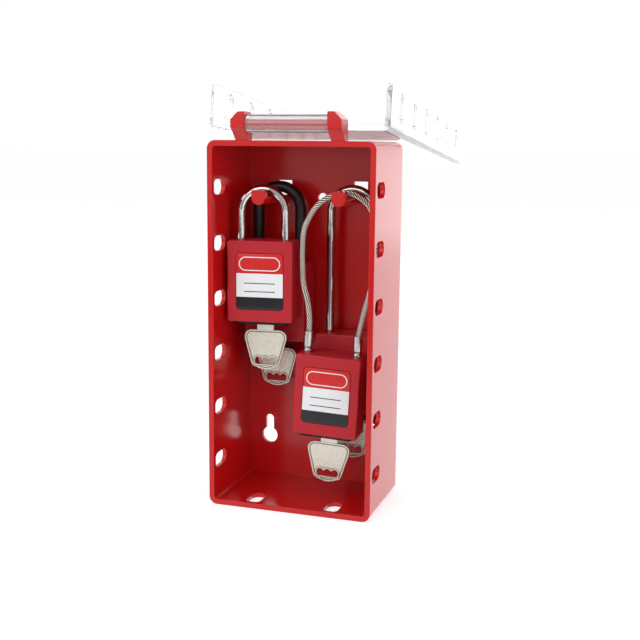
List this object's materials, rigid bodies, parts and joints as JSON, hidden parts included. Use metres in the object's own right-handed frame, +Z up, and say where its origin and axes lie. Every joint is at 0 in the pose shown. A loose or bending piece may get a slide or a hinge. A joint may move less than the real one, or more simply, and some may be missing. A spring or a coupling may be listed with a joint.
{
  "type": "lockout padlock box",
  "caption": "Open-fronted wall box with hooks for safety padlocks, side slots that take shackles, and a flip-up clear cover on a hinge pin, stocked with padlocks.",
  "frame": {"origin": "middle of the box's flat underside", "axes": "+Z up, +Y towards the back wall that is screwed to a wall, +X to the right seen from the open front"},
  "size_m": [0.1098, 0.2349, 0.2523],
  "materials": {
    "red_shell": "glossy red moulding",
    "red_pin": "red moulded rod",
    "clear_cover": "clear polished moulding",
    "red_padlock": "satin red nylon shell",
    "black_plastic": "black nylon",
    "chrome_shackle": "polished chromed steel rod",
    "steel_cable": "bare twisted steel strands",
    "ferrule": "swaged aluminium sleeve",
    "brass_plug": "machined brass",
    "key_metal": "nickel plated, stamped and milled",
    "label": "printed vinyl label with a red head band and a black foot band"
  },
  "bodies": {
    "box": {"box_shell": "red_shell", "hinge_pin": "red_pin"},
    "cover": {"cover": "clear_cover"},
    "front_left_padlock": {"front_left_body": "red_padlock", "front_left_base": "black_plastic", "front_left_label": "label"},
    "front_left_lifting_shackle": {"front_left_shackle": "chrome_shackle"},
    "front_left_turning_key": {"front_left_plug": "brass_plug", "front_left_key": "key_metal"},
    "rear_left_padlock": {"rear_left_body": "red_padlock", "rear_left_base": "black_plastic"},
    "rear_left_lifting_shackle": {"rear_left_shackle": "black_plastic"},
    "rear_left_turning_key": {"rear_left_plug": "brass_plug", "rear_left_key": "key_metal"},
    "front_right_padlock": {"front_right_body": "red_padlock", "front_right_base": "black_plastic", "front_right_cable": "steel_cable", "front_right_ferrule_left": "ferrule", "front_right_ferrule_right": "ferrule", "front_right_label": "label"},
    "front_right_turning_key": {"front_right_plug": "brass_plug", "front_right_key": "key_metal"},
    "rear_right_padlock": {"rear_right_body": "red_padlock", "rear_right_base": "black_plastic"},
    "rear_right_lifting_shackle": {"rear_right_shackle": "chrome_shackle"},
    "rear_right_turning_key": {"rear_right_plug": "brass_plug", "rear_right_key": "key_metal"}
  },
  "joints": [
    {"name": "cover_hinge", "type": "hinge", "parent": "box", "child": "cover", "pos_m": [0, -0.0336, 0.2293], "axis": [1, 0, 0], "range_deg": [0, 275.67]},
    {"name": "front_left_swing", "type": "hinge", "parent": "box", "child": "front_left_padlock", "pos_m": [-0.02538, -0.0065, 0.1873], "axis": [0, 1, 0], "range_deg": [-1.2, 0.8]},
    {"name": "front_left_shackle_lift", "type": "slide", "parent": "front_left_padlock", "child": "front_left_lifting_shackle", "axis": [0, 0, 1], "range_m": [0, 0.01]},
    {"name": "front_left_key_turn", "type": "hinge", "parent": "front_left_padlock", "child": "front_left_turning_key", "pos_m": [-0.02408, -0.00631, 0.13635], "axis": [0, 0, 1], "range_deg": [0, 50]},
    {"name": "rear_left_swing", "type": "hinge", "parent": "box", "child": "rear_left_padlock", "pos_m": [-0.02453, 0.0175, 0.1873], "axis": [0, 1, 0], "range_deg": [-1.5, 2.1]},
    {"name": "rear_left_shackle_lift", "type": "slide", "parent": "rear_left_padlock", "child": "rear_left_lifting_shackle", "axis": [0, 0, 1], "range_m": [0, 0.01]},
    {"name": "rear_left_key_turn", "type": "hinge", "parent": "rear_left_padlock", "child": "rear_left_turning_key", "pos_m": [-0.0255, 0.0175, 0.1211], "axis": [0, 0, 1], "range_deg": [0, 50]},
    {"name": "front_right_swing", "type": "hinge", "parent": "box", "child": "front_right_padlock", "pos_m": [0.01851, -0.0065, 0.189], "axis": [0, 1, 0], "range_deg": [-3, 1.5]},
    {"name": "front_right_key_turn", "type": "hinge", "parent": "front_right_padlock", "child": "front_right_turning_key", "pos_m": [0.0192, -0.00643, 0.06908], "axis": [0.0499, 0.0024, 0.9988], "range_deg": [0, 50]},
    {"name": "rear_right_swing", "type": "hinge", "parent": "box", "child": "rear_right_padlock", "pos_m": [0.02367, 0.0175, 0.1873], "axis": [0, 1, 0], "range_deg": [-1.5, 1.9]},
    {"name": "rear_right_shackle_lift", "type": "slide", "parent": "rear_right_padlock", "child": "rear_right_lifting_shackle", "axis": [0, 0, 1], "range_m": [0, 0.01]},
    {"name": "rear_right_key_turn", "type": "hinge", "parent": "rear_right_padlock", "child": "rear_right_turning_key", "pos_m": [0.025, 0.0175, 0.0784], "axis": [0, 0, 1], "range_deg": [0, 50]}
  ]
}
